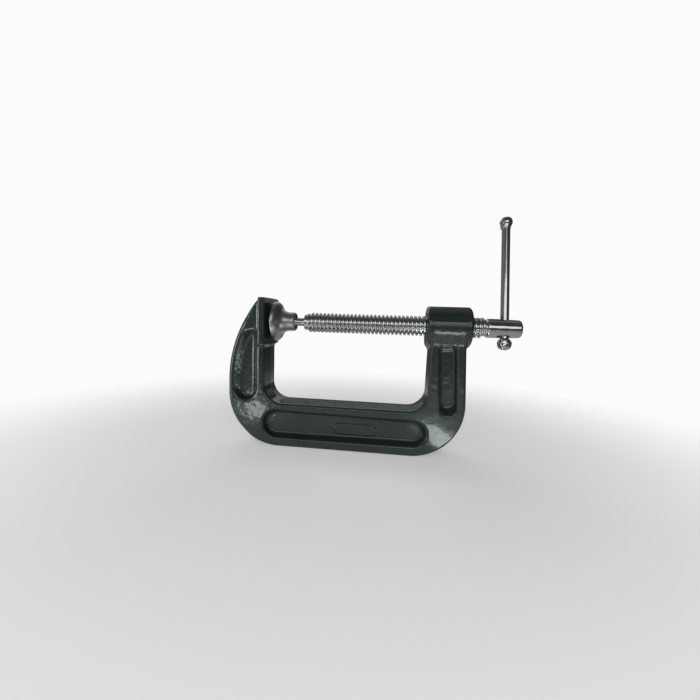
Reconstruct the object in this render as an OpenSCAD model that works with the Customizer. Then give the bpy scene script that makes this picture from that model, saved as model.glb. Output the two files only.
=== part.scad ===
// C clamp: a cast C frame, a bright screw with a ball tip, a swivel pad and a sliding tommy bar.
// Millimetres. +X runs along the screw from the fixed jaw to the handle, +Z is up, the spine is below.
// The origin is the centre of the fixed jaw's working face, on the screw axis.

/* [Frame] */
// Distance from the fixed jaw face to the near end of the screw boss
jaw_to_boss = 101; // [90:1:110]
// Depth of the throat from the screw axis to the spine, at the rim's edge
throat_depth = 53.3; // [48:0.1:60]
// Thickness of the rims, front to back
frame_thick = 21; // [16:0.5:24]
// Height of the spine section
spine_height = 28.5; // [24:0.5:34]
// Radius of the two inner corners
inner_corner_r = 12; // [9:0.5:14]
// Radius of the lower corner under the fixed jaw
jaw_corner_r = 34.5; // [32:0.5:38]
// Radius of the lower corner under the screw boss
boss_corner_r = 33; // [30:0.5:36]
// Radius of the long curve down the back of the jaw arm
arm_curve_r = 80; // [76:1:90]
// Thickness of the web left between a front pocket and a back pocket
web_thick = 10.5; // [6:0.5:13]
// Draft of the inner faces, from the rim's edge to the parting plane
inner_draft = 0.9; // [0.2:0.1:1.2]
// Size of the rounding along the rim edges
rim_round = 1.8; // [0.8:0.1:2.2]

/* [Fixed jaw] */
// Width of the jaw plate, front to back
jaw_width = 28; // [22:0.5:32]
// Height of the jaw plate above the screw axis
jaw_top = 15; // [12:0.5:16]
// Reach of the jaw plate below the screw axis
jaw_drop = 15.5; // [13:0.5:17]
// Thickness of the jaw plate beside the arm
jaw_plate = 4.4; // [3:0.1:6]

/* [Screw boss] */
// Outer radius of the boss
boss_r = 12.5; // [11:0.25:14]
// Length of the boss
boss_length = 26.9; // [24:0.1:32]
// Rounding of the boss's end edges
boss_round = 1.5; // [0.5:0.1:2.5]

/* [Screw] */
// Crest radius of the thread
crest_r = 6.35; // [6:0.05:6.5]
// Root radius of the thread
root_r = 5.05; // [4.6:0.05:5.4]
// Pitch of the right-hand thread
pitch = 2.54; // [2.4:0.02:3]
// Running clearance between the crest and the boss bore
bore_clearance = 0.25; // [0.2:0.05:0.5]
// Number of flat steps in each turn of the thread
thread_steps = 16; // [16:2:24]
// Where the screw starts, beyond the jaw face
screw_start = 23; // [21:0.5:25]
// Where the plain head starts
head_start = 137.4; // [135:0.2:140]
// Length of the plain head
head_length = 20.4; // [18:0.2:26]
// Distance from the start of the head to the middle of its cross hole
hole_at = 11; // [9:0.2:14]
// Radius of the head next to the thread
head_r = 5.9; // [5.6:0.05:6.2]
// Radius of the head at its outer end
head_end_r = 5.4; // [5:0.05:5.8]

/* [Swivel pad] */
// Gap between the fixed jaw and the pad as stored
rest_gap = 2.4; // [2.2:0.1:4]
// Radius of the pad's working face
pad_r = 12.9; // [11:0.1:14]
// Thickness of the pad's rim
pad_rim = 2.3; // [1.5:0.1:3]
// Length of the pad from its face to the end of its collar
pad_length = 14.2; // [13.8:0.1:17]
// Outer radius of the collar that holds the ball
collar_r = 6.1; // [5.9:0.05:7]
// Radius of the ball on the screw's tip
ball_r = 4.2; // [3.9:0.05:4.3]
// Radius of the neck behind the ball
neck_r = 2.7; // [2.3:0.05:2.8]

/* [Tommy bar] */
// Radius of the bar
bar_r = 2.5; // [2:0.05:2.6]
// Distance from the screw axis to the underside of the top knob
bar_up = 63.8; // [50:0.2:75]
// Radius of the top knob
top_knob_r = 3.85; // [3.4:0.05:4.5]
// Radius of the bottom knob
bottom_knob_r = 4.15; // [3.4:0.05:4.5]
// Height of each knob
knob_height = 7.2; // [5:0.1:8]
// Lean of the bar away from vertical, about the screw axis
bar_lean = 10; // [0:1:45]

/* [Hidden] */
$fn = 64;
half = frame_thick / 2;
web_half = web_thick / 2;
spine_in = -throat_depth;
spine_out = spine_in - spine_height;
boss_start = jaw_to_boss;
boss_end = boss_start + boss_length;
// The rims of the two arms, at the front face
arm_in = -1.35;
arm_out = -26;
post_in = boss_start + 2.2;
post_in_lean = 0.8;
post_out = post_in + 23.1;
post_lean = 2.6;
post_top_out = post_out - 2.2;
arm_curve_z = -39;
arm_tip_x = -7.3;
arm_curve_top = 141;
bore_r = crest_r + bore_clearance;
head_end = head_start + head_length;
bar_x = head_start + hole_at;
hole_r = bar_r + 0.2;
ball_x = rest_gap + pad_length - 3.6;
pad_x = rest_gap;
pad_end = rest_gap + pad_length;
rim_back = pad_x + pad_rim;
knob_gap = 0.2;

function reversed(list) = [for (i = [len(list) - 1:-1:0]) list[i]];
function dir(a) = [cos(a), sin(a)];

// One station of a contour is its point and its outward normal, in the X-Z plane.
function arc_stations(c, r, a0, a1, n, side) =
    [for (i = [0:n]) let (a = a0 + (a1 - a0) * i / n) [c + r * dir(a), side * dir(a)]];

// Skin of a row of rings, each a closed loop of the same number of points, with flat ends.
module skin(rings) {
    m = len(rings[0]);
    last = len(rings) - 1;
    points = [for (ring = rings) each ring];
    sides = [
        for (s = [0:last - 1])
            for (i = [0:m - 1])
                let (j = (i + 1) % m)
                    each [
                        [s * m + i, s * m + j, (s + 1) * m + j],
                        [s * m + i, (s + 1) * m + j, (s + 1) * m + i]
                    ]
    ];
    caps = [[for (i = [m - 1:-1:0]) i], [for (i = [0:m - 1]) last * m + i]];
    polyhedron(points = points, faces = concat(sides, caps));
}

// ---------- frame ----------

outer_stations = concat(
    [[[arm_tip_x, jaw_top], [-1, 0]]],
    arc_stations([arm_out + arm_curve_r, arm_curve_z], arm_curve_r, arm_curve_top, 180, 8, 1),
    arc_stations([arm_out + jaw_corner_r, spine_out + jaw_corner_r], jaw_corner_r, 180, 270, 9, 1),
    arc_stations(
        [post_out - boss_corner_r, spine_out + boss_corner_r], boss_corner_r,
        270, 360 + post_lean, 9, 1
    ),
    [[[post_top_out, 0], dir(post_lean)]]
);

inner_top = jaw_top - 3.2;
inner_low = spine_in + inner_corner_r;
inner_stations = concat(
    [[[arm_in, jaw_top], [1, 0]]],
    [for (i = [0:8]) [[arm_in, inner_top + (inner_low + 2.3 - inner_top) * i / 8], [1, 0]]],
    arc_stations([arm_in + inner_corner_r, inner_low], inner_corner_r, 180, 270, 9, -1),
    arc_stations(
        [post_in - inner_corner_r, inner_low], inner_corner_r,
        270, 360 - post_in_lean, 9, -1
    ),
    [[[post_in - inner_low * tan(post_in_lean), 0], -dir(-post_in_lean)]]
);

// Section of the C: [offset along the normal, Y], front to back.
outer_profile = [
    [-rim_round, -half],
    [-0.3 * rim_round, -half + 0.3 * rim_round],
    [0, -half + rim_round],
    [0, half - rim_round],
    [-0.3 * rim_round, half - 0.3 * rim_round],
    [-rim_round, half]
];
inner_profile = [
    [-rim_round, -half],
    [-0.3 * rim_round, -half + 0.3 * rim_round],
    [0, -half + rim_round],
    [inner_draft, 0],
    [0, half - rim_round],
    [-0.3 * rim_round, half - 0.3 * rim_round],
    [-rim_round, half]
];

function offset_point(station, p) =
    let (q = station[0] + p[0] * station[1]) [q[0], p[1], q[1]];

module c_sweep() {
    rings = [
        for (s = [len(outer_stations) - 1:-1:0])
            concat(
                [for (p = outer_profile) offset_point(outer_stations[s], p)],
                [for (p = reversed(inner_profile)) offset_point(inner_stations[s], p)]
            )
    ];
    skin(rings);
}

// A pocket outline is a list of arcs [centre x, centre z, radius, from, to, steps], counter-clockwise.
function outline(arcs, grow) = [
    for (a = arcs)
        for (i = [0:a[5]])
            let (t = a[3] + (a[4] - a[3]) * i / a[5])
                [a[0] + (a[2] + grow) * cos(t), a[1] + (a[2] + grow) * sin(t)]
];

// Each pocket has one outline at its rim and one at its floor, made of the same arcs and steps.
// The arm's pocket follows the long curve, inset from it.
arm_centre = [arm_out + arm_curve_r, arm_curve_z];
function arm_outline(inset, right, top, low_z, r) =
    let (
        big = arm_curve_r - inset,
        low_r = (right - arm_out - inset) / 2,
        z = top - 0.4 - r,
        a = 180 - asin((z - arm_curve_z) / (big - r)),
        left = arm_centre + (big - r) * dir(a)
    )
    [
        [right - low_r, low_z, low_r, 180, 360, 10],
        [right - r, z + 0.15 * (right - r - left[0]), r, 0, 98.5, 3],
        [left[0], left[1], r, 98.5, a, 3],
        [arm_centre[0], arm_centre[1], big, a + 2.5, 179.5, 5]
    ];
arm_pocket = [
    arm_outline(3.2, -6.2, -5.75, -43.6, 2.6),
    arm_outline(7.5, -9.8, -8.4, -46.4, 1.8)
];
spine_pocket = [
    [[95.3, spine_in - 14, 8.6, -90, 90, 12], [7.05, spine_in - 13.35, 9.35, 90, 270, 12]],
    [[95.1, spine_in - 13.9, 6.2, -90, 90, 12], [6.55, spine_in - 13.6, 7.3, 90, 270, 12]]
];
post_pocket = [
    [
        [115.98, -49.45, 5.25, 183, 363, 8],
        [116.68, -13.6, 2.6, 3, 90, 3],
        [111.38, -13.6, 2.6, 90, 183, 3]
    ],
    [
        [115.6, -46.05, 4.45, 183, 363, 8],
        [116.51, -14.1, 1.8, 3, 90, 3],
        [111.21, -14.1, 1.8, 90, 183, 3]
    ]
];

// Pocket levels: [depth from the front face, share of the way to the floor outline, growth].
pocket_depth = half - web_half;
pocket_levels = [
    [-0.5, 0, 1],
    [0, 0, 0.5],
    [0.7, 0.13, 0],
    [pocket_depth - 0.8, 0.85, 0],
    [pocket_depth, 1, -0.7]
];

function pocket_ring(pair, level) =
    let (
        rim = outline(pair[0], level[2]),
        floor_line = outline(pair[1], level[2])
    )
    [
        for (i = [0:len(rim) - 1])
            let (p = rim[i] + level[1] * (floor_line[i] - rim[i])) [p[0], level[0] - half, p[1]]
    ];

module pocket(pair) {
    skin([for (level = reversed(pocket_levels)) reversed(pocket_ring(pair, level))]);
}

module pockets() {
    pocket(arm_pocket);
    pocket(spine_pocket);
    pocket(post_pocket);
}

// Plain raised plate in the spine's front pocket
plate_length = 27.4;
plate_height = 7.4;
plate_raise = 0.8;
plate_x = 58.7;
plate_z = spine_in - 15.2;
module blank_plate() {
    translate([plate_x, -web_half + 0.5, plate_z])
        rotate([90, 0, 0])
            linear_extrude(plate_raise + 0.5) {
                square([plate_length - plate_height, plate_height], center = true);
                for (side = [-1, 1])
                    translate([side * (plate_length - plate_height) / 2, 0])
                        circle(d = plate_height);
            }
}

module rounded_plate(width, height, r) {
    square([width - 2 * r, height], center = true);
    square([width, height - 2 * r], center = true);
    for (i = [-1, 1])
        for (j = [-1, 1])
            translate([i * (width / 2 - r), j * (height / 2 - r)])
                circle(r);
}

module fixed_jaw() {
    translate([-jaw_plate, 0, (jaw_top - jaw_drop) / 2])
        rotate([90, 0, 90])
            linear_extrude(jaw_plate)
                rounded_plate(jaw_width, jaw_top + jaw_drop, 2);
}

// A solid turned about the X axis from points [x, radius]
module turned(points) {
    rotate([0, 90, 0])
        rotate_extrude()
            polygon([for (p = points) [p[1], p[0]]]);
}

module boss() {
    c = boss_round;
    turned([
        [boss_start, 0],
        [boss_start, boss_r - c],
        [boss_start + 0.3 * c, boss_r - 0.3 * c],
        [boss_start + c, boss_r],
        [boss_end - 1.6 * c, boss_r],
        [boss_end - 0.45 * c, boss_r - 0.5 * c],
        [boss_end, boss_r - 1.5 * c],
        [boss_end, 0]
    ]);
}

module boss_bore() {
    lead = 0.8;
    turned([
        [boss_start - 1, 0],
        [boss_start - 1, bore_r + lead + 1],
        [boss_start + lead, bore_r],
        [boss_end - lead, bore_r],
        [boss_end + 1, bore_r + lead + 1],
        [boss_end + 1, 0]
    ]);
}

module frame() {
    color([0.16, 0.19, 0.18])
        difference() {
            union() {
                difference() {
                    c_sweep();
                    pockets();
                    mirror([0, 1, 0]) pockets();
                }
                blank_plate();
                fixed_jaw();
                boss();
            }
            boss_bore();
        }
}

// ---------- screw ----------

thread_height = crest_r - root_r;
crest_half = 0.16 * pitch;
flank = 0.5 * thread_height;
root_half = crest_half + flank;
thread_start = screw_start + root_half + 0.3;
thread_room = head_start - 0.7 - root_half - thread_start;
steps = floor(thread_steps * thread_room / pitch);
fade_steps = thread_steps / 2;
rod_end = head_start + 0.6;

// Share of the full thread height at one step, fading in and out over half a turn
function fade(j) = min(1, j / fade_steps, (steps - j) / fade_steps);

function screw_point(j, x, r) =
    let (a = 360 * j / thread_steps) [x, r * cos(a), r * sin(a)];

// Four points across the ridge at each step: root, crest, crest, root
function ridge_points(j) =
    let (x = thread_start + pitch * j / thread_steps, r = root_r + thread_height * fade(j))
        [
            screw_point(j, x - root_half, root_r),
            screw_point(j, x - crest_half, r),
            screw_point(j, x + crest_half, r),
            screw_point(j, x + root_half, root_r)
        ];

module threaded_rod() {
    n = thread_steps;
    first_ring = 4 * (steps + 1);
    last_ring = first_ring + n;
    points = concat(
        [for (j = [0:steps]) each ridge_points(j)],
        [for (j = [0:n - 1]) screw_point(j, screw_start, root_r)],
        [for (j = [0:n - 1]) screw_point(j, rod_end, root_r)]
    );
    // ridge flanks and crest
    ridge = [
        for (j = [0:steps - 1])
            for (k = [0:2])
                let (p = 4 * j + k)
                    each [[p, p + 1, p + 5], [p, p + 5, p + 4]]
    ];
    // root between one turn and the next
    root = [
        for (j = [0:steps - n - 1])
            let (p = 4 * j + 3, q = 4 * (j + n))
                each [[p, q, q + 4], [p, q + 4, p + 4]]
    ];
    // plain root from the first end to the first turn
    lead_in = [
        for (j = [0:n - 2])
            let (p = first_ring + j, q = 4 * j)
                each [[p, q, q + 4], [p, q + 4, p + 1]]
    ];
    last_in = 4 * (n - 1);
    seam_in = [
        [last_in, first_ring, first_ring + n - 1],
        [last_in, 0, first_ring],
        [last_in, 1, 0],
        [last_in, 2, 1],
        [last_in, 3, 2],
        [last_in, 4 * n, 3]
    ];
    // plain root from the last turn to the head
    tail = steps - n;
    lead_out = [
        for (i = [1:n - 1])
            let (p = 4 * (tail + i) + 3, a = (tail + i) % n, b = (tail + i + 1) % n)
                each [[p, last_ring + a, last_ring + b], [p, last_ring + b, p + 4]]
    ];
    out_a = last_ring + tail % n;
    out_b = last_ring + (tail + 1) % n;
    first_out = 4 * (tail + 1) + 3;
    seam_out = [
        [first_out, 4 * tail + 3, 4 * steps],
        [first_out, 4 * steps, 4 * steps + 1],
        [first_out, 4 * steps + 1, 4 * steps + 2],
        [first_out, 4 * steps + 2, 4 * steps + 3],
        [first_out, 4 * steps + 3, out_a],
        [first_out, out_a, out_b]
    ];
    ends = [
        [for (i = [0:n - 1]) first_ring + i],
        [for (i = [n - 1:-1:0]) last_ring + i]
    ];
    polyhedron(
        points = points,
        faces = concat(ridge, root, lead_in, seam_in, lead_out, seam_out, ends)
    );
}

module head() {
    c = 1.4;
    difference() {
        turned([
            [head_start, 0],
            [head_start, head_r - 0.4],
            [head_start + 0.5, head_r],
            [bar_x - 2, head_r],
            [head_end - c, head_end_r],
            [head_end - 0.35 * c, head_end_r - 0.35 * c],
            [head_end, head_end_r - c],
            [head_end, 0]
        ]);
        along_bar()
            translate([0, 0, -10])
                cylinder(r = hole_r, h = 20);
    }
}

module screw() {
    color([0.82, 0.83, 0.84]) {
        threaded_rod();
        head();
    }
}

module screw_ball_tip() {
    color([0.82, 0.83, 0.84])
        union() {
            translate([ball_x, 0, 0])
                sphere(ball_r);
            translate([ball_x, 0, 0])
                rotate([0, 90, 0])
                    cylinder(r = neck_r, h = screw_start - 0.1 - ball_x);
        }
}

// ---------- swivel pad ----------

socket_r = ball_r + 0.2;
mouth_r = 3.6;
socket_reach = sqrt(socket_r * socket_r - mouth_r * mouth_r);
sweep_r = 6.5;
shoulder_x = pad_x + 3.9;
waist_x = pad_x + 10.2;

module swivel_pad() {
    waist = [
        for (a = [198:9:270])
            [waist_x + sweep_r * cos(a), collar_r + sweep_r + sweep_r * sin(a)]
    ];
    socket = [
        for (a = [0:6:90])
            let (t = 180 - a * (180 - acos(socket_reach / socket_r)) / 90)
                [ball_x + socket_r * cos(t), socket_r * sin(t)]
    ];
    color([0.62, 0.63, 0.62])
        difference() {
            turned(concat(
                [
                    [pad_x, 0],
                    [pad_x, pad_r - 0.6],
                    [pad_x + 0.5, pad_r],
                    [rim_back - 0.4, pad_r],
                    [rim_back, pad_r - 0.3]
                ],
                waist,
                [
                    [pad_end - 0.8, collar_r],
                    [pad_end, collar_r - 0.9],
                    [pad_end, 0]
                ]
            ));
            translate([ball_x, 0, 0])
                sphere(socket_r);
            translate([ball_x, 0, 0])
                rotate([0, 90, 0])
                    cylinder(r = mouth_r, h = pad_end - ball_x + 1);
        }
}

// ---------- tommy bar ----------

// Places its children on the bar's own axis, with local +Z towards the top knob
module along_bar() {
    translate([bar_x, 0, 0])
        rotate([-bar_lean, 0, 0])
            children();
}

module knob(r, neck, crown) {
    rotate_extrude()
        polygon([
            [0, 0],
            [neck, 0],
            [r - 0.5, 0.9],
            [r, 2.2],
            [r, knob_height - 2.4],
            [r - 0.9, knob_height - 0.8],
            [crown, knob_height],
            [0, knob_height]
        ]);
}

module tommy_bar() {
    low = -(head_r + knob_gap);
    color([0.8, 0.81, 0.82])
        along_bar() {
            translate([0, 0, low - 1])
                cylinder(r = bar_r, h = bar_up - low + 2);
            translate([0, 0, bar_up])
                knob(top_knob_r, bar_r + 0.2, 1.9);
            translate([0, 0, low])
                mirror([0, 0, 1])
                    knob(bottom_knob_r, bar_r + 0.6, 2.3);
        }
}

frame();
screw_ball_tip();
screw();
swivel_pad();
tommy_bar();
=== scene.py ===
import math

import bmesh
import bpy
import numpy as np
from mathutils import Matrix, Vector


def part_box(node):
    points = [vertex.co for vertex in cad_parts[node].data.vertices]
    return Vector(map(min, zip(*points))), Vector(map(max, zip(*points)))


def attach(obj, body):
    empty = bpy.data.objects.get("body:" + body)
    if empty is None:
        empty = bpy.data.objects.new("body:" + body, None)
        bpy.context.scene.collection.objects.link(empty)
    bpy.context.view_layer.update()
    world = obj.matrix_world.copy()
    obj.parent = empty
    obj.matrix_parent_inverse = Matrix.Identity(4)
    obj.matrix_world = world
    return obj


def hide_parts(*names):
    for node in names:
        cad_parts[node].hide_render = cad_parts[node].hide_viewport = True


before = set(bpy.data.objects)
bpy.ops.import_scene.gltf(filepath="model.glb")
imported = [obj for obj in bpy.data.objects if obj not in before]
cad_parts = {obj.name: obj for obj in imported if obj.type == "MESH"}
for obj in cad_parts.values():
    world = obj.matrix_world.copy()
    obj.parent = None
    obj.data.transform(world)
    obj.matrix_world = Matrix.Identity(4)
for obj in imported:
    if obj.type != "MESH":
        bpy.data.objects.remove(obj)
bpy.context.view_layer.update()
scene = bpy.context.scene
MM = 0.001


def add_object(name, data):
    ob = bpy.data.objects.new(name, data)
    scene.collection.objects.link(ob)
    return ob


# ---------------------------------------------------------------- camera
# The camera stands near the handle end and a little above the screw.
EYE = Vector((79.5, -219.1, 3.4)) * MM
YAW, PITCH, ROLL = -0.120, 0.093, 0.032


def make_camera():
    data = bpy.data.cameras.new("camera")
    data.sensor_width = 36.0
    data.lens = 17.43
    data.clip_start = 0.005
    data.clip_end = 50.0
    cam = add_object("camera", data)
    level = math.cos(PITCH)
    look = Vector((math.sin(YAW) * level, math.cos(YAW) * level, -math.sin(PITCH)))
    right = Vector((math.cos(YAW), -math.sin(YAW), 0.0))
    up = right.cross(look)
    r = math.cos(ROLL) * right + math.sin(ROLL) * up
    u = math.cos(ROLL) * up - math.sin(ROLL) * right
    m = Matrix((r, u, -look)).transposed().to_4x4()
    m.translation = EYE
    cam.matrix_world = m
    scene.camera = cam


make_camera()

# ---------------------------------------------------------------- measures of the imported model
NODES = ("frame", "screw", "screw_ball_tip", "swivel_pad", "tommy_bar")
BOX = {name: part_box(name) for name in NODES}
f_lo, f_hi = BOX["frame"]
s_lo, s_hi = BOX["screw"]
p_lo = BOX["swivel_pad"][0]

HALF = 10.5           # half the thickness over the rims
WEB = 5.25            # half the thickness of the web in the pockets
BASE = f_lo.z / MM    # underside of the spine
TOP = f_hi.z / MM     # top of the fixed jaw
REST_GAP = p_lo.x / MM
SCREW_START = s_lo.x / MM
HEAD_END = s_hi.x / MM
HEAD_START = HEAD_END - 20.4
BAR_X = HEAD_START + 11.0
LEAN = math.radians(10)    # of the tommy bar, about the screw axis
THREAD_PITCH = 2.54

# side contour of the C: centre x, centre z and radius of each arc
ARM_CURVE = (54.0, -39.0, 80.0)
JAW_CORNER = (8.5, -47.3, 34.5)
BOSS_CORNER = (93.3, -48.8, 33.0)
ARM_OUT = -26.0       # back of the jaw arm
POST_LEAN = math.radians(2.6)

# throat: middle, half width, depth and corner radius
THROAT_MID, THROAT_HALF = 50.925, 52.275
THROAT_DEPTH, THROAT_CORNER = 53.3, 12.0
THROAT_LEAN = math.tan(math.radians(0.8))

BOSS_MID, BOSS_HALF, BOSS_R, BORE_R = 114.45, 13.45, 12.5, 6.6
JAW_MID, JAW_HALF = (-2.4, 0, -0.25), (2.4, 14.0, 15.25)

# ---------------------------------------------------------------- distance fields (millimetres)


def smax(a, b, k):
    h = np.maximum(k - np.abs(a - b), 0.0) / k
    return np.maximum(a, b) + h * h * k * 0.25


def smin(a, b, k):
    return -smax(-a, -b, k)


def rounded_pair(u, v, r):
    """Both u < 0 and v < 0, with the edge between them rounded to radius r."""
    u = u + r
    v = v + r
    return np.minimum(np.maximum(u, v), 0.0) + np.hypot(np.maximum(u, 0), np.maximum(v, 0)) - r


def capsule(x, z, x0, x1, zc, r):
    return np.hypot(x - np.clip(x, x0, x1), z - zc) - r


def rounded_box(x, y, z, c, half, r):
    qx = np.abs(x - c[0]) - half[0] + r
    qy = np.abs(y - c[1]) - half[1] + r
    qz = np.abs(z - c[2]) - half[2] + r
    out = np.sqrt(np.maximum(qx, 0) ** 2 + np.maximum(qy, 0) ** 2 + np.maximum(qz, 0) ** 2)
    return out + np.minimum(np.maximum(np.maximum(qx, qy), qz), 0.0) - r


def outer_contour(x, z):
    """Signed distance to the outside contour of the C, in the X-Z plane."""
    arm_x, arm_z, arm_r = ARM_CURVE
    jaw_x, jaw_z, jaw_r = JAW_CORNER
    boss_x, boss_z, boss_r = BOSS_CORNER
    low = BASE - z
    corner_l = np.hypot(x - jaw_x, z - jaw_z) - jaw_r
    curve_l = np.hypot(x - arm_x, z - arm_z) - arm_r
    left = np.where(z > jaw_z, ARM_OUT - x, np.where(x < jaw_x, corner_l, low))
    left = np.where(z > arm_z, curve_l, left)
    dx, dz = x - boss_x, z - boss_z
    along = -dx * math.sin(POST_LEAN) + dz * math.cos(POST_LEAN)
    line = dx * math.cos(POST_LEAN) + dz * math.sin(POST_LEAN) - boss_r
    corner_r = np.hypot(dx, dz) - boss_r
    right = np.where(along > 0, line, np.where(x > boss_x, corner_r, low))
    return np.where(x < 50.0, left, right)


def opening(x, z):
    """Signed distance to the throat, negative inside it, open at the top."""
    r = THROAT_CORNER
    lean = np.where(x > THROAT_MID, np.maximum(z + THROAT_DEPTH - r, 0.0) * THROAT_LEAN, 0.0)
    qx = np.abs(x - THROAT_MID) - THROAT_HALF + r - lean
    qz = np.maximum(-z, -20.0) - THROAT_DEPTH + r
    return np.minimum(np.maximum(qx, qz), 0.0) + np.hypot(np.maximum(qx, 0), np.maximum(qz, 0)) - r


def arm_pocket(x, z, t):
    """t runs from 0 at the rim to 1 at the floor; the pocket's outline changes with it."""
    inset, right, low_z = 3.2 + 4.3 * t, -6.2 - 3.6 * t, -43.6 - 2.8 * t
    arm_x, arm_z, arm_r = ARM_CURVE
    r = (right - ARM_OUT - inset) / 2
    curve = np.hypot(x - arm_x, z - arm_z) - arm_r + inset
    left = np.where(z > arm_z, curve, inset + ARM_OUT - x)
    d = smax(smax(left, x - right, 2.5), z + 5.75 + 2.65 * t - 0.15 * (x + 10), 3.2)
    return np.where(z < low_z, np.hypot(x - right + r, z - low_z) - r, d)


def post_pocket(x, z, t):
    a = math.radians(3.1)
    cz = -49.45 + 3.4 * t
    cx = 115.98 - 0.38 * t
    half = 5.25 - 0.8 * t
    u = (x - cx) * math.cos(a) + (z - cz) * math.sin(a)
    v = -(x - cx) * math.sin(a) + (z - cz) * math.cos(a)
    top = rounded_pair(np.abs(u) - half, v - 38.5 + 4.7 * t, 2.2)
    return np.where(v < 0, np.hypot(u, v) - half, top)


def spine_pocket(x, z, t):
    cx = np.clip(x, 7.05 - 0.5 * t, 95.3 - 0.2 * t)
    s = (cx - 7.0) / 88.3
    zc = -66.65 - 0.25 * t - (0.65 - 0.35 * t) * s
    return np.hypot(x - cx, z - zc) - (9.35 - 2.05 * t - (0.75 + 0.35 * t) * s)


def casting_skin(x, y, z):
    """Faint unevenness of the as-cast skin."""
    coarse = np.sin(0.83 * x + 0.41 * z + 1.3) * np.sin(0.71 * y + 0.52 * z)
    coarse = coarse * np.sin(0.47 * z - 0.33 * x + 0.9 * y)
    fine = np.sin(1.93 * x - 1.17 * y + 0.6) * np.sin(1.71 * z + 0.9 * y + 2.1)
    fine = fine * np.sin(1.37 * y + 1.5 * x)
    return 0.035 * coarse + 0.014 * fine


def casting(x, y, z):
    ay = np.abs(y)
    front = ay - HALF
    inside = -opening(x, z) - 0.9 * (1 - ay / HALF)
    d2 = np.maximum(outer_contour(x, z), inside)
    # the rim is rounder down the back of the jaw arm
    body = rounded_pair(d2, front, 1.7 + 1.4 * np.clip((-x - 8) / 6, 0, 1))
    # the three pockets of each side
    depth = HALF - ay
    floor = WEB - ay
    t = np.clip(depth / (HALF - WEB), -0.1, 1.1)
    for shape in (arm_pocket, spine_pocket, post_pocket):
        wall = shape(x, z, t) / 1.1
        body = smax(body, -smax(wall, floor, 1.7), 1.5)
    # the two ends of the C
    body = np.where(x < 30, smax(body, z - TOP, 1.4), np.maximum(body, z - 1.0))
    # the jaw plate, finished flat on its working face
    plate = rounded_box(x, y, z, JAW_MID, JAW_HALF, 1.1)
    body = smin(body, plate, 2.2)
    body = np.where((x < 20) & (z > -30), smax(body, x, 0.5), body)
    # the screw boss
    rad = np.hypot(y, z)
    ends = np.abs(x - BOSS_MID) - BOSS_HALF
    boss = rounded_pair(rad - BOSS_R, ends, np.where(x > BOSS_MID, 1.9, 1.3))
    body = smin(body, boss, 4.2)
    # blank raised plate in the front pocket of the spine
    blank = smax(capsule(x, z, 48.7, 68.7, -68.5, 3.7), np.abs(y + WEB) - 0.8, 0.9)
    body = smin(body, blank, 0.7)
    body = body + casting_skin(x, y, z) * np.clip((-x - 0.4) / 2.0 + (x > 1.0) * 10, 0, 1)
    # the bore, with a lead-in at each end
    lead = np.maximum(ends + 0.85, 0.0)
    return np.where(x > 90, smax(body, BORE_R + lead - rad, 0.4), body)


# ---------------------------------------------------------------- mesh of a distance field


def gradient(f, p, e=0.02):
    g = np.empty_like(p)
    for i in range(3):
        s = np.zeros(3)
        s[i] = e
        a, b = p + s, p - s
        g[:, i] = (f(a[:, 0], a[:, 1], a[:, 2]) - f(b[:, 0], b[:, 1], b[:, 2])) / (2 * e)
    return g


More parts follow.
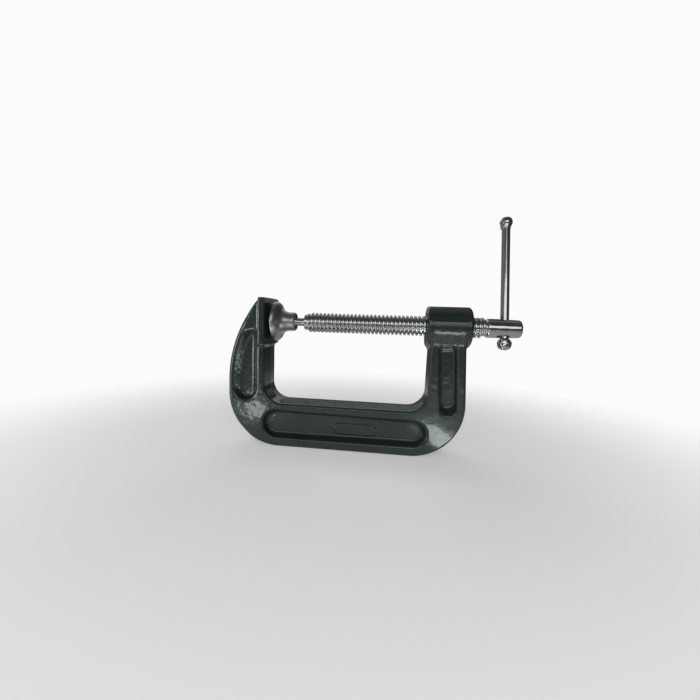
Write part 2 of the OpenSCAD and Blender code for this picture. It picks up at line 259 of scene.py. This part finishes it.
def mesh_from_field(name, f, lo, hi, h):
    """Closed mesh of f < 0 on a grid of spacing h, its points drawn onto the surface."""
    lo = np.array(lo, float) - 1.53 * h
    n = np.ceil((np.array(hi, float) + 1.5 * h - lo) / h).astype(int) + 1
    xs, ys, zs = (lo[i] + h * np.arange(n[i]) for i in range(3))
    F = np.empty(tuple(n), np.float32)
    for i in range(n[0]):
        Y, Z = np.meshgrid(ys, zs, indexing="ij")
        F[i] = f(np.full_like(Y, xs[i]), Y, Z)
    inside = F < 0
    count = np.zeros(tuple(n - 1), np.int8)
    for a in (0, 1):
        for b in (0, 1):
            for c in (0, 1):
                count += inside[a:n[0] - 1 + a, b:n[1] - 1 + b, c:n[2] - 1 + c]
    active = np.argwhere((count > 0) & (count < 8))
    index = np.full(tuple(n - 1), -1, np.int64)
    index[active[:, 0], active[:, 1], active[:, 2]] = np.arange(len(active))
    corner = np.array([(a, b, c) for a in (0, 1) for b in (0, 1) for c in (0, 1)])
    val = [F[active[:, 0] + a, active[:, 1] + b, active[:, 2] + c] for a, b, c in corner]
    val = np.stack(val, 1).astype(float)
    total = np.zeros((len(active), 3))
    hits = np.zeros(len(active))
    for i in range(8):
        for j in range(i + 1, 8):
            if np.abs(corner[i] - corner[j]).sum() != 1:
                continue
            va, vb = val[:, i], val[:, j]
            cut = (va < 0) != (vb < 0)
            t = np.where(cut, va / np.where(cut, va - vb, 1.0), 0.0)
            total += cut[:, None] * (corner[i] + t[:, None] * (corner[j] - corner[i]))
            hits += cut
    p = lo + h * (active + total / hits[:, None])
    for _ in range(3):
        g = gradient(f, p)
        d = f(p[:, 0], p[:, 1], p[:, 2])
        step = d / np.maximum((g * g).sum(1), 0.2)
        p = p - g * np.clip(step, -0.5 * h, 0.5 * h)[:, None]
    g = gradient(f, p)
    normals = g / np.maximum(np.linalg.norm(g, axis=1), 1e-9)[:, None]
    faces = []
    for axis in range(3):
        u, v = [k for k in range(3) if k != axis]
        a = [slice(None)] * 3
        b = [slice(None)] * 3
        a[axis] = slice(0, n[axis] - 1)
        b[axis] = slice(1, n[axis])
        change = inside[tuple(a)] != inside[tuple(b)]
        e = np.argwhere(change)
        e = e[(e[:, u] > 0) & (e[:, v] > 0) & (e[:, u] < n[u] - 1) & (e[:, v] < n[v] - 1)]
        first = inside[tuple(a)][e[:, 0], e[:, 1], e[:, 2]]
        quad = []
        for du, dv in ((-1, -1), (0, -1), (0, 0), (-1, 0)):
            q = e.copy()
            q[:, u] += du
            q[:, v] += dv
            quad.append(index[q[:, 0], q[:, 1], q[:, 2]])
        quad = np.stack(quad, 1)
        flip = first if axis != 1 else ~first
        quad[~flip] = quad[~flip][:, ::-1]
        faces.append(quad)
    faces = np.concatenate(faces)
    return build_mesh(name, p * MM, faces, normals)


def build_mesh(name, points, faces, normals=None):
    me = bpy.data.meshes.new(name)
    faces = np.asarray(faces)
    me.vertices.add(len(points))
    me.vertices.foreach_set("co", np.asarray(points, np.float32).ravel())
    me.loops.add(faces.size)
    me.loops.foreach_set("vertex_index", faces.astype(np.int32).ravel())
    me.polygons.add(len(faces))
    me.polygons.foreach_set("loop_start", np.arange(0, faces.size, faces.shape[1], dtype=np.int32))
    me.update(calc_edges=True)
    me.validate()
    me.polygons.foreach_set("use_smooth", np.ones(len(me.polygons), bool))
    if normals is not None:
        me.normals_split_custom_set_from_vertices(np.asarray(normals, float).tolist())
    return add_object(name, me)


def finish_piece(ob, body, material, node, stands_for=True):
    """Keep the piece inside its node's box, give it its material and let it ride its body."""
    me = ob.data
    pts = np.empty(len(me.vertices) * 3, np.float32)
    me.vertices.foreach_get("co", pts)
    low, high = (np.array(v) for v in BOX[node])
    pts = np.clip(pts.reshape(-1, 3), low + 4e-6, high - 4e-6)
    me.vertices.foreach_set("co", pts.astype(np.float32).ravel())
    me.update()
    me.materials.append(material)
    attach(ob, body)
    if stands_for:
        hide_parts(node)
    return ob


# ---------------------------------------------------------------- turned shapes about the X axis


def rounded_profile(points, r, steps=4):
    """The same polyline with each inner corner rounded by up to r."""
    out = [points[0]]
    for a, b, c in zip(points, points[1:], points[2:]):
        a, b, c = np.array(a, float), np.array(b, float), np.array(c, float)
        u, v = a - b, c - b
        lu, lv = np.linalg.norm(u), np.linalg.norm(v)
        k = min(r, 0.42 * lu, 0.42 * lv)
        s, e = b + u / lu * k, b + v / lv * k
        for i in range(steps + 1):
            t = i / steps
            out.append(tuple((1 - t) ** 2 * s + 2 * t * (1 - t) * b + t * t * e))
    out.append(points[-1])
    return out


def turned(name, profile, n=96):
    """Closed solid from points (x, radius); the first and the last lie on the axis."""
    ring = profile[1:-1]
    pts = [(profile[0][0], 0, 0)]
    for x, r in ring:
        for j in range(n):
            t = 2 * math.pi * j / n
            pts.append((x, r * math.cos(t), r * math.sin(t)))
    pts.append((profile[-1][0], 0, 0))
    quads = []
    for i in range(len(ring) - 1):
        for j in range(n):
            k = (j + 1) % n
            a, b = 1 + i * n, 1 + (i + 1) * n
            quads.append((a + j, a + k, b + k, b + j))
    tris = [(0, 1 + (j + 1) % n, 1 + j) for j in range(n)]
    last = len(pts) - 1
    a = 1 + (len(ring) - 1) * n
    tris += [(last, a + j, a + (j + 1) % n) for j in range(n)]
    me = bpy.data.meshes.new(name)
    me.from_pydata([tuple(c * MM for c in p) for p in pts], [], quads + tris)
    me.update()
    me.polygons.foreach_set("use_smooth", np.ones(len(me.polygons), bool))
    return add_object(name, me)


# ---------------------------------------------------------------- materials


class Nodes:
    """Small helper around one material's node tree."""

    def __init__(self, name):
        self.mat = bpy.data.materials.new(name)
        self.mat.use_nodes = True
        self.tree = self.mat.node_tree
        self.shader = self.tree.nodes["Principled BSDF"]
        self.coord = self.tree.nodes.new("ShaderNodeTexCoord").outputs["Object"]

    def add(self, kind, **inputs):
        node = self.tree.nodes.new(kind)
        for key, value in inputs.items():
            self.put(value, node.inputs[key])
        return node

    def link(self, a, b):
        self.tree.links.new(a, b)

    def put(self, value, socket):
        """Link another socket to this one, or set a plain value on it."""
        if isinstance(value, bpy.types.NodeSocket):
            self.link(value, socket)
        else:
            socket.default_value = value

    def stretched(self, sx, sy, sz):
        m = self.add("ShaderNodeMapping", Vector=self.coord)
        m.inputs["Scale"].default_value = (sx, sy, sz)
        return m.outputs["Vector"]

    def noise(self, scale, detail, rough, vector=None):
        n = self.add("ShaderNodeTexNoise", Scale=scale, Detail=detail, Roughness=rough)
        self.link(vector or self.coord, n.inputs["Vector"])
        return n.outputs["Fac"]

    def ramp(self, fac, stops):
        n = self.tree.nodes.new("ShaderNodeValToRGB")
        self.link(fac, n.inputs["Fac"])
        e = n.color_ramp.elements
        while len(e) < len(stops):
            e.new(0.5)
        for slot, (pos, col) in zip(e, stops):
            slot.position = pos
            slot.color = col if len(col) == 4 else (*col, 1.0)
        return n.outputs["Color"]

    def grey(self, fac, lo, hi):
        n = self.add("ShaderNodeMapRange", Value=fac)
        n.inputs["From Min"].default_value = 0.3
        n.inputs["From Max"].default_value = 0.7
        n.inputs["To Min"].default_value = lo
        n.inputs["To Max"].default_value = hi
        return n.outputs["Result"]

    def mix(self, fac, a, b):
        n = self.tree.nodes.new("ShaderNodeMix")
        n.data_type = "RGBA"
        for socket, value in ((n.inputs[0], fac), (n.inputs[6], a), (n.inputs[7], b)):
            self.put(value, socket)
        return n.outputs[2]

    def bump(self, height, distance, strength, normal=None):
        n = self.add("ShaderNodeBump", Height=height, Distance=distance, Strength=strength)
        if normal is not None:
            self.link(normal, n.inputs["Normal"])
        return n.outputs["Normal"]

    def math(self, op, a, b):
        n = self.tree.nodes.new("ShaderNodeMath")
        n.operation = op
        for socket, value in zip(n.inputs, (a, b)):
            self.put(value, socket)
        return n.outputs[0]


def enamel():
    """Gloss green-grey enamel over an as-cast surface."""
    m = Nodes("enamel")
    broad = m.noise(55.0, 3.0, 0.5)
    fine = m.noise(420.0, 4.0, 0.6)
    tone = m.ramp(broad, [
        (0.3, (0.015, 0.023, 0.018)), (0.52, (0.020, 0.029, 0.023)), (0.75, (0.026, 0.036, 0.029))
    ])
    specks = m.ramp(m.noise(1900.0, 2.0, 0.5), [(0.70, (0, 0, 0)), (0.76, (1, 1, 1))])
    colour = m.mix(m.math("MULTIPLY", specks, 0.22), tone, (0.085, 0.092, 0.084, 1))
    m.link(colour, m.shader.inputs["Base Color"])
    m.shader.inputs["Specular IOR Level"].default_value = 0.38
    m.shader.inputs["Specular Tint"].default_value = (0.84, 1.0, 0.91, 1)
    m.link(m.grey(fine, 0.17, 0.30), m.shader.inputs["Roughness"])
    m.shader.inputs["Coat Weight"].default_value = 0.35
    m.shader.inputs["Coat Roughness"].default_value = 0.08
    swell = m.bump(m.noise(210.0, 2.0, 0.45), 0.00028, 0.6)
    peel = m.bump(m.noise(900.0, 3.0, 0.5), 0.00003, 0.5, swell)
    m.link(peel, m.shader.inputs["Normal"])
    m.link(peel, m.shader.inputs["Coat Normal"])
    return m.mat


def plated(name, base, rough, along=(1, 1, 1), tone=0.06, scratch=0.00001, dents=0.00002, metallic=1.0):
    """Plated steel: its colour varies a little, and along draws out the fine tool marks."""
    m = Nodes(name)
    cloud = m.noise(160.0, 4.0, 0.6)
    lo = tuple(c * (1 - tone) for c in base)
    hi = tuple(min(1.0, c * (1 + tone)) for c in base)
    m.link(m.ramp(cloud, [(0.3, lo), (0.7, hi)]), m.shader.inputs["Base Color"])
    m.shader.inputs["Metallic"].default_value = metallic
    marks = m.noise(900.0, 5.0, 0.65, m.stretched(*along))
    wear = m.math("ADD", m.math("MULTIPLY", marks, 0.6), m.math("MULTIPLY", cloud, 0.4))
    m.link(m.grey(wear, *rough), m.shader.inputs["Roughness"])
    n = m.bump(m.noise(330.0, 2.0, 0.5), dents, 0.5)
    n = m.bump(marks, scratch, 0.5, n)
    m.link(n, m.shader.inputs["Normal"])
    return m.mat


mat_enamel = enamel()
mat_thread = plated("thread_plate", (0.42, 0.43, 0.43), (0.15, 0.27), (0.3, 1, 1), 0.10, 0.00001, 0.00004)
mat_head = plated("head_plate", (0.38, 0.375, 0.38), (0.08, 0.16), (4.0, 0.6, 0.6), 0.05, 0.000006, 0.00006)
mat_neck = plated("neck_plate", (0.36, 0.355, 0.335), (0.12, 0.22), (6.0, 0.5, 0.5), 0.04, 0.000006, 0.00001)
mat_pad = plated("pad_plate", (0.29, 0.30, 0.275), (0.30, 0.42), (5.0, 0.6, 0.6), 0.08, 0.000012, 0.00006)
mat_bar = plated("bar_plate", (0.38, 0.38, 0.375), (0.11, 0.20), (1.0, 1.0, 0.25), 0.06, 0.000008, 0.00005)
# near-black material for the painted shade in the mouth of the pad's socket
mat_painted_shade = plated("painted_shade", (0.02, 0.019, 0.017), (0.45, 0.62), metallic=0.0)

# ---------------------------------------------------------------- frame casting

grid = 0.55
ob = mesh_from_field("frame_casting", casting, (-26.5, -14, BASE), (128, 14, TOP), grid)
finish_piece(ob, "clamp_frame", mat_enamel, "frame")

# ---------------------------------------------------------------- screw

ROOT, CREST = 5.05, 6.35
TIP_R = 3.1    # radius of the thread's front face


def thread_radius(turn):
    """Radius against the distance from the ridge's middle, in pitches from -0.5 to 0.5."""
    t = np.abs(turn)
    flank = np.clip((0.40 - t) / 0.23, 0.0, 1.0)
    return flank * flank * (3 - 2 * flank)


def screw_thread():
    n, m = 56, 14
    x0, x1 = SCREW_START, HEAD_START + 0.35
    first, last = x0 + 1.9, HEAD_START - 1.3
    rows = int((x1 - x0) / THREAD_PITCH * m) + 3 * m
    j = np.arange(n)
    i = np.arange(rows)
    J, I = np.meshgrid(j, i, indexing="ij")
    raw = x0 - 1.5 * THREAD_PITCH + THREAD_PITCH * (I / m + J / n)
    turn = (raw - first) / THREAD_PITCH - J / n
    ridge = np.round(turn)
    middle = first + THREAD_PITCH * (ridge + J / n)
    run_out = 0.5 * THREAD_PITCH
    fade = np.clip((middle - first) / run_out, 0, 1) * np.clip((last - middle) / run_out, 0, 1)
    r = ROOT + (CREST - ROOT) * thread_radius(turn - ridge) * fade
    # turned shoulder at the start, and a small fillet to the head
    r = np.minimum(r, TIP_R + 1.25 * np.maximum(raw - x0, 0.0))
    r = np.maximum(r, ROOT + 0.5 * np.clip((raw - HEAD_START + 0.5) / 0.5, 0, 1) ** 2)
    r = np.where(raw < x0, TIP_R, r)
    x = np.clip(raw, x0, x1)
    a = 2 * math.pi * J / n
    pts = np.stack([x, r * np.cos(a), r * np.sin(a)], -1).reshape(-1, 3) * MM
    quads = []
    for jj in range(n):
        for ii in range(rows - 1):
            if jj < n - 1:
                b0, b1 = (jj + 1) * rows + ii, (jj + 1) * rows + ii + 1
            else:
                if ii + 1 + m >= rows:
                    continue
                b0, b1 = ii + m, ii + 1 + m
            quads.append((jj * rows + ii, jj * rows + ii + 1, b1, b0))
    me = bpy.data.meshes.new("screw_thread")
    me.from_pydata(pts.tolist(), [], quads)
    bm = bmesh.new()
    bm.from_mesh(me)
    bmesh.ops.remove_doubles(bm, verts=bm.verts, dist=2e-6)
    loose = [v for v in bm.verts if not v.link_faces]
    bmesh.ops.delete(bm, geom=loose, context="VERTS")
    bmesh.ops.holes_fill(bm, edges=[e for e in bm.edges if e.is_boundary], sides=0)
    bmesh.ops.recalc_face_normals(bm, faces=bm.faces)
    for f in bm.faces:
        f.smooth = len(f.verts) <= 4
    bm.to_mesh(me)
    bm.free()
    return add_object("screw_thread", me)


finish_piece(screw_thread(), "clamp_screw", mat_thread, "screw")

CL, SL = math.cos(LEAN), math.sin(LEAN)


def bar_axes(x, y, z):
    """Coordinates in the tommy bar's own frame: across it in X, across it, and along it."""
    return x - BAR_X, y * CL - z * SL, y * SL + z * CL


def head_field(x, y, z):
    r = np.hypot(y, z)
    t = np.clip((x - (BAR_X - 4)) / (HEAD_END - BAR_X + 4), 0, 1)
    girth = 5.9 - 0.45 * t * t * (3 - 2 * t)
    side = (r - girth) / 1.003
    end = x - HEAD_END
    near = HEAD_START - x
    d = rounded_pair(side, end, 1.5)
    d = smax(d, near, 0.9)
    u, v, _ = bar_axes(x, y, z)
    hole = np.hypot(u, v) - 2.7
    d = smax(d, -hole, 0.7)
    # shallow hammer marks from upsetting the end
    return d + 0.02 * np.sin(0.9 * x + 0.8 * z) * np.sin(1.1 * y - 0.7 * z + 0.4)


grid = 0.26
ob = mesh_from_field("screw_head", head_field, (HEAD_START, -6, -6), (HEAD_END, 6, 6), grid)
finish_piece(ob, "clamp_screw", mat_head, "screw", False)

# ---------------------------------------------------------------- ball tip and neck

BALL_X, BALL_R = REST_GAP + 10.6, 4.2


def arc(cx, cy, r, angles):
    """Points of an arc about (cx, cy), at these angles in degrees."""
    return [(cx + r * math.cos(math.radians(a)), cy + r * math.sin(math.radians(a))) for a in angles]


ball = arc(BALL_X, 0.0, BALL_R, range(180, 42, -6))
neck = rounded_profile([
    ball[-1], (BALL_X + 3.75, 2.62), (SCREW_START - 2.6, 2.6), (SCREW_START - 1.5, 2.68),
    (SCREW_START - 0.7, 2.7), (SCREW_START - 0.12, 2.7), (SCREW_START - 0.1, 0.0)
], 0.5)
ob = turned("neck_and_ball", ball[:-1] + neck, 72)
finish_piece(ob, "feed_tip", mat_neck, "screw_ball_tip")

# ---------------------------------------------------------------- swivel pad


def pad_profile():
    x = REST_GAP
    end = x + 14.2
    outer = rounded_profile([
        (x, 0.0), (x, 12.35), (x + 0.55, 12.9), (x + 2.0, 12.85), (x + 2.75, 12.3)
    ], 0.35, 5)[:-1]
    waist_r = 6.5
    waist = arc(x + 10.2, 6.1 + waist_r, waist_r, range(198, 271, 6))
    collar = rounded_profile([
        waist[-1], (end - 2.0, 6.08), (end - 0.9, 6.1), (end - 0.1, 5.6),
        (end, 4.9), (end - 0.35, 4.45), (end - 1.4, 3.75)
    ], 0.5, 4)[1:]
    socket_r, mouth_r = BALL_R + 0.2, 3.6
    reach = math.sqrt(socket_r * socket_r - mouth_r * mouth_r)
    a0 = math.degrees(math.acos(reach / socket_r))
    inner = arc(BALL_X, 0.0, socket_r, np.linspace(a0, 180, 16))
    inner[-1] = (inner[-1][0], 0.0)
    return outer + [(x + 3.4, 11.75)] + waist + collar + inner


finish_piece(turned("pad_shoe", pad_profile(), 128), "pad", mat_pad, "swivel_pad")


def painted_shade_field(x, y, z):
    """Near-black ring of painted shade for the dark gap in the mouth of the socket, clear of the neck when
    the pad tilts.
    """
    turn = np.arctan2(z, y)
    r = np.hypot(y, z) + 0.07 * np.sin(5 * turn + 0.8) + 0.05 * np.sin(9 * turn)
    return rounded_pair(np.abs(r - 4.2) - 0.62, np.abs(x - BALL_X - 3.25) - 0.25, 0.2)


# a near-black ring in the socket's mouth paints the shade of the dark gap there
ob = mesh_from_field("pad_painted_shade", painted_shade_field, (BALL_X + 2.9, -5, -5), (BALL_X + 3.6, 5, 5), 0.2)
finish_piece(ob, "pad", mat_painted_shade, "swivel_pad", False)

# ---------------------------------------------------------------- tommy bar

UNDER_TOP, UNDER_LOW = 64.2, -6.1


def bar_field(x, y, z):
    u, v, w = bar_axes(x, y, z)
    r = np.hypot(u, v)
    # a plain rod, very slightly uneven
    rod = rounded_pair(r - 2.5, np.abs(w - 29) - 36.5, 0.6)
    rod = rod + 0.012 * np.sin(0.35 * w + 0.8) * np.sin(0.21 * w)
    # top knob: a mushroomed ball with a burr round its left underside
    s = w - UNDER_TOP
    knob = np.sqrt((u / 3.8) ** 2 + (v / 3.75) ** 2 + ((s - 3.6) / 3.75) ** 2)
    knob = (knob - 1.0) * 3.6
    knob = smax(knob, s - 6.9, 1.2)
    collar = rounded_pair(r + 0.35 * u / 3.0 - 2.95, np.abs(s - 0.55) - 0.8, 0.4)
    top = smin(knob, collar, 0.9)
    # bottom knob: upset between dies, so squarish and dented
    q = UNDER_LOW - w
    side = (np.abs(u) ** 3.0 + np.abs(v) ** 3.0) ** (1 / 3.0) - 4.0 + 0.16 * np.abs(q - 3.2)
    low = rounded_pair(side, np.abs(q - 3.5) - 3.5, 2.0)
    low = low + 0.16 * np.sin(1.1 * u + 0.9 * q + 0.6) * np.sin(1.0 * v - 0.7 * q + 1.9) + 0.1
    return smin(smin(rod, top, 0.6), low, 0.5)


corners = [(BAR_X + sx * 4.3, sy * 4.3 * CL + w * SL, -sy * 4.3 * SL + w * CL)
           for sx in (-1, 1) for sy in (-1, 1) for w in (-13.4, 71.1)]
lo = [min(c[i] for c in corners) for i in range(3)]
hi = [max(c[i] for c in corners) for i in range(3)]
grid = 0.3
ob = mesh_from_field("tommy_rod", bar_field, lo, hi, grid)
finish_piece(ob, "handle_bar", mat_bar, "tommy_bar")

# ---------------------------------------------------------------- floor, light and world


def make_floor():
    me = bpy.data.meshes.new("floor")
    bm = bmesh.new()
    bmesh.ops.create_circle(bm, cap_ends=True, radius=2.0, segments=96)
    bm.to_mesh(me)
    bm.free()
    ob = add_object("floor", me)
    ob.location = (0.05, 0.0, BASE * MM - 0.00005)
    m = Nodes("floor")
    m.shader.inputs["Base Color"].default_value = (0.90, 0.90, 0.895, 1)
    m.shader.inputs["Roughness"].default_value = 0.8
    m.shader.inputs["Emission Color"].default_value = (1.0, 1.0, 0.995, 1)
    m.shader.inputs["Emission Strength"].default_value = 0.31
    # the floor thins out into the plain backdrop away from the object
    dist = m.tree.nodes.new("ShaderNodeVectorMath")
    dist.operation = "LENGTH"
    m.link(m.coord, dist.inputs[0])
    fade = m.add("ShaderNodeMapRange", Value=dist.outputs["Value"])
    fade.interpolation_type = "SMOOTHSTEP"
    fade.inputs["From Min"].default_value = 0.09
    fade.inputs["From Max"].default_value = 0.34
    clear = m.tree.nodes.new("ShaderNodeBsdfTransparent")
    mixer = m.tree.nodes.new("ShaderNodeMixShader")
    m.link(fade.outputs["Result"], mixer.inputs[0])
    m.link(m.shader.outputs[0], mixer.inputs[1])
    m.link(clear.outputs[0], mixer.inputs[2])
    out = next(n for n in m.tree.nodes if n.type == "OUTPUT_MATERIAL")
    m.link(mixer.outputs[0], out.inputs["Surface"])
    ob.data.materials.append(m.mat)


def area_light(name, where, aim, size, radiance, spread=180.0):
    """A soft panel of this radiance. A spread in degrees below 180 is a grid in front of it."""
    data = bpy.data.lights.new(name, "AREA")
    data.shape = "RECTANGLE"
    data.size, data.size_y = size
    data.energy = radiance * math.pi * size[0] * size[1]
    data.spread = math.radians(spread)
    ob = add_object(name, data)
    ob.location = where
    d = Vector(aim) - Vector(where)
    ob.rotation_euler = d.to_track_quat("-Z", "Y").to_euler()
    ob.visible_camera = False
    return ob


def low_panel(name, at, size, turn, radiance):
    """A panel just above the floor, facing up, turned by some degrees about the vertical."""
    ob = area_light(name, (at[0], at[1], BASE * MM + 0.0006), (at[0], at[1], 1.0), size, radiance)
    ob.rotation_euler = (math.pi, 0.0, math.radians(turn))


def make_world():
    """White to the camera. To everything else, a dim studio that is lighter below and on the left."""
    w = bpy.data.worlds.new("studio")
    scene.world = w
    w.use_nodes = True
    t = w.node_tree
    bg = t.nodes["Background"]
    coord = t.nodes.new("ShaderNodeTexCoord").outputs["Generated"]
    sep = t.nodes.new("ShaderNodeSeparateXYZ")
    t.links.new(coord, sep.inputs[0])

    def graded(socket, stops):
        half = t.nodes.new("ShaderNodeMapRange")
        half.inputs["From Min"].default_value = -1.0
        t.links.new(socket, half.inputs["Value"])
        ramp = t.nodes.new("ShaderNodeValToRGB")
        t.links.new(half.outputs["Result"], ramp.inputs["Fac"])
        e = ramp.color_ramp.elements
        while len(e) < len(stops):
            e.new(0.5)
        for el, (pos, v) in zip(e, stops):
            el.position = pos
            el.color = (v, v, v, 1)
        return ramp.outputs["Color"]

    def blend(kind, fac, a, b):
        n = t.nodes.new("ShaderNodeMix")
        n.data_type = "RGBA"
        n.blend_type = kind
        n.inputs[0].default_value = fac
        t.links.new(a, n.inputs[6])
        t.links.new(b, n.inputs[7])
        return n.outputs[2]

    height = graded(sep.outputs["Z"], [
        (0.0, 0.40), (0.38, 0.17), (0.45, 0.08), (0.58, 0.08), (0.75, 0.08), (1.0, 0.09)
    ])
    back = graded(sep.outputs["Y"], [(0.0, 1.0), (0.55, 1.0), (0.75, 0.75), (1.0, 0.75)])
    side = graded(sep.outputs["X"], [(0.0, 1.0), (0.20, 0.55), (0.36, 0.0), (1.0, 0.0)])
    dim = blend("MULTIPLY", 1.0, height, back)
    t.links.new(blend("ADD", 0.22, dim, side), bg.inputs["Color"])
    plain = t.nodes.new("ShaderNodeBackground")
    plain.inputs["Color"].default_value = (0.97, 0.97, 0.968, 1)
    path = t.nodes.new("ShaderNodeLightPath")
    mixer = t.nodes.new("ShaderNodeMixShader")
    t.links.new(path.outputs["Is Camera Ray"], mixer.inputs[0])
    t.links.new(bg.outputs[0], mixer.inputs[1])
    t.links.new(plain.outputs[0], mixer.inputs[2])
    out = next(n for n in t.nodes if n.type == "OUTPUT_WORLD")
    t.links.new(mixer.outputs[0], out.inputs["Surface"])


make_floor()
make_world()
aim = (0.06, 0.0, -0.02)
area_light("key", (0.10, -0.46, 0.155), aim, (0.62, 0.20), 1.8)
area_light("key_high", (0.175, -0.42, 0.285), aim, (0.13, 0.13), 1.4)
area_light("left", (-0.19, -0.15, -0.04), (-0.025, 0.0, -0.035), (0.10, 0.16), 0.5, 40)
area_light("top", (0.05, 0.25, 0.70), aim, (0.9, 0.7), 0.16)
area_light("back", (0.05, 0.60, 0.12), aim, (0.9, 0.20), 0.26)
area_light("rear", (-0.10, 0.42, 0.36), aim, (0.55, 0.22), 1.3)
# a low gridded panel lights the boss, and two panels just above the floor light the lower corners
area_light("low_front", (0.145, -0.188, -0.079), (0.115, -0.012, 0.008), (0.062, 0.014), 0.42, 30)
low_panel("low_left", (-0.043, -0.094), (0.015, 0.058), -34, 9.5)
low_panel("low_right", (0.1165, -0.052), (0.018, 0.050), -16, 9.0)

scene.view_settings.view_transform = "Standard"
